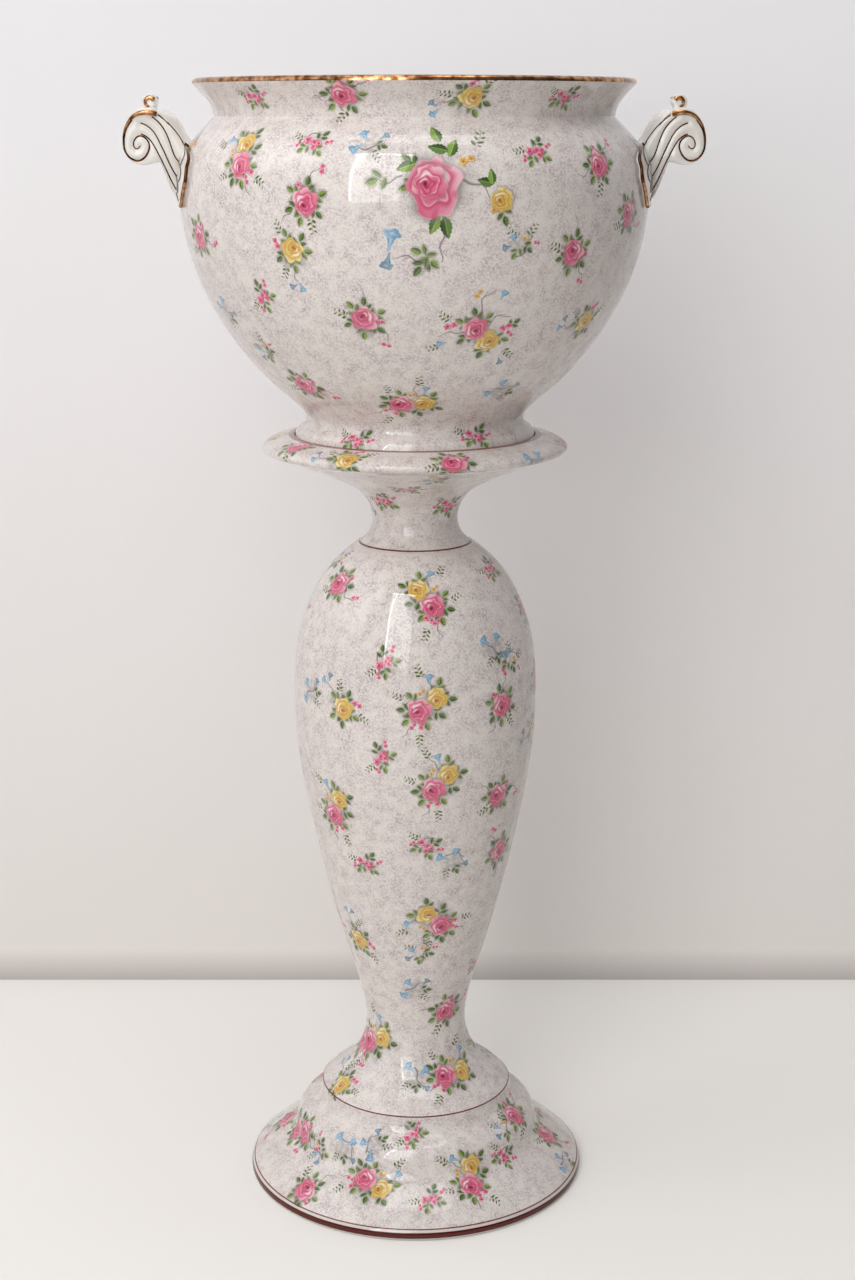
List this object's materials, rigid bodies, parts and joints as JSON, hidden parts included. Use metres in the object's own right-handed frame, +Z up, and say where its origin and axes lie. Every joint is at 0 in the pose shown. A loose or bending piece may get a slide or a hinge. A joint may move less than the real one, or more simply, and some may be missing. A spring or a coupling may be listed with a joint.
{
  "type": "jardiniere on stand",
  "caption": "Round two-handled flower bowl in glazed earthenware, resting in the saucer of a tall turned hollow stand with a stepped foot.",
  "frame": {"origin": "on the floor, on the axis of the turned stand and bowl", "axes": "+Z up along the axis of the stand and bowl, +X to the viewer's right through the handles, -Y towards the viewer"},
  "size_m": [0.4664, 0.381, 0.9535],
  "materials": {
    "printed_glaze": "earthenware with a small traditional rose chintz print under a clear, very glossy glaze",
    "white_glaze": "plain warm white glossy glaze with lines and edges in burnished gold"
  },
  "bodies": {
    "stand": {"pedestal_foot": "printed_glaze", "pedestal_column": "printed_glaze", "pedestal_saucer": "printed_glaze"},
    "bowl": {"bowl": "printed_glaze", "handle_right": "white_glaze", "handle_left": "white_glaze"}
  },
  "joints": [
    {"name": "bowl_lift", "type": "slide", "parent": "stand", "child": "bowl", "axis": [0, 0, 1], "range_m": [0, 0.15]}
  ]
}
